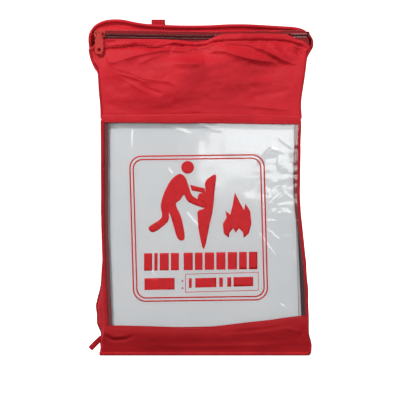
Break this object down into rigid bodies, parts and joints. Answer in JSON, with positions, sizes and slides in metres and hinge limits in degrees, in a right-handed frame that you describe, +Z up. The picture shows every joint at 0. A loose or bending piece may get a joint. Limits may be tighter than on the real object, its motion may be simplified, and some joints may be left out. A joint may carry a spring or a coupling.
{
  "type": "fire blanket in zip pouch",
  "caption": "Folded white fire blanket in a red gusseted fabric pouch with a clear front window, a zipped mouth and a hanging loop.",
  "frame": {"origin": "bottom centre of the whole object's bounding box", "axes": "+Z up along the pouch's height, -Y out of the window face, +X to the right seen from the front"},
  "size_m": [0.235, 0.0382, 0.3478],
  "materials": {
    "coated_fabric": "matte coated weave",
    "coated_fabric_dark": "matte coated weave in shade",
    "binding_tape": "ribbed tape",
    "webbing": "flat webbing",
    "clear_film": "clear flexible plastic film",
    "glass_cloth": "fine satin weave of white glass yarn",
    "tape_black": "woven tape",
    "red_ink": "printed ink film",
    "zip_coil": "satin monofilament",
    "zip_tape": "fine woven tape",
    "zip_stop": "satin",
    "painted_metal_red": "red enamel"
  },
  "bodies": {
    "pouch": {"back_binding_bottom": "binding_tape", "back_binding_left": "binding_tape", "back_binding_right": "binding_tape", "back_binding_top": "binding_tape", "back_panel": "coated_fabric", "binding_tail": "binding_tape", "bottom_gusset": "coated_fabric", "front_binding_bottom": "binding_tape", "front_binding_left": "binding_tape", "front_binding_right": "binding_tape", "loop_tab": "webbing", "lower_band": "coated_fabric_dark", "printed_bars": "red_ink", "printed_border": "red_ink", "printed_pictogram": "red_ink", "side_gusset_left": "coated_fabric", "side_gusset_right": "coated_fabric", "side_pleat_left": "coated_fabric", "side_pleat_right": "coated_fabric", "top_gusset_back": "coated_fabric", "upper_gusset_left": "coated_fabric", "upper_gusset_right": "coated_fabric", "window_film": "clear_film", "window_hem": "coated_fabric", "zip_bottom_stop": "zip_stop", "zip_coil_back": "zip_coil", "zip_tape_back": "zip_tape", "zip_top_stops": "zip_stop"},
    "front_lip": {"front_lip": "coated_fabric", "lip_binding_left": "binding_tape", "lip_binding_right": "binding_tape", "lip_top_fold": "coated_fabric", "top_gusset_front": "coated_fabric", "zip_tape_front": "zip_tape", "zip_coil_front": "zip_coil"},
    "zip_slider": {"slider_body": "painted_metal_red", "slider_bridge": "painted_metal_red"},
    "puller": {"slider_puller": "painted_metal_red"},
    "hang_loop": {"hang_loop": "webbing"},
    "blanket": {"blanket_folded": "glass_cloth", "pull_tape_left": "tape_black", "pull_tape_right": "tape_black"}
  },
  "joints": [
    {"name": "blanket_pull", "type": "slide", "parent": "pouch", "child": "blanket", "axis": [0, 0, 1], "range_m": [0, 0.345]},
    {"name": "mouth_open", "type": "hinge", "parent": "pouch", "child": "front_lip", "pos_m": [-0.0009, -0.01855, 0.242], "axis": [1, 0, 0], "range_deg": [0, 45.2], "deforming": ["lip_top_fold", "top_gusset_front", "zip_tape_front", "zip_coil_front", "top_gusset_back"]},
    {"name": "zip_slide", "type": "slide", "parent": "pouch", "child": "zip_slider", "axis": [1, 0, 0], "range_m": [0, 0.2102], "deforming": ["zip_coil_back", "zip_tape_back"]},
    {"name": "puller_swing", "type": "hinge", "parent": "zip_slider", "child": "puller", "pos_m": [-0.1048, -0.00636, 0.33406], "axis": [-1, 0, 0], "range_deg": [0, 150]},
    {"name": "loop_flex", "type": "hinge", "parent": "pouch", "child": "hang_loop", "pos_m": [-0.0417, 0.01045, 0.3473], "axis": [1, 0, 0], "range_deg": [0, 125]}
  ],
  "couplings": [
    {"joint": "mouth_open", "follows": "blanket_pull", "rad_per_m": 2.2765}
  ]
}
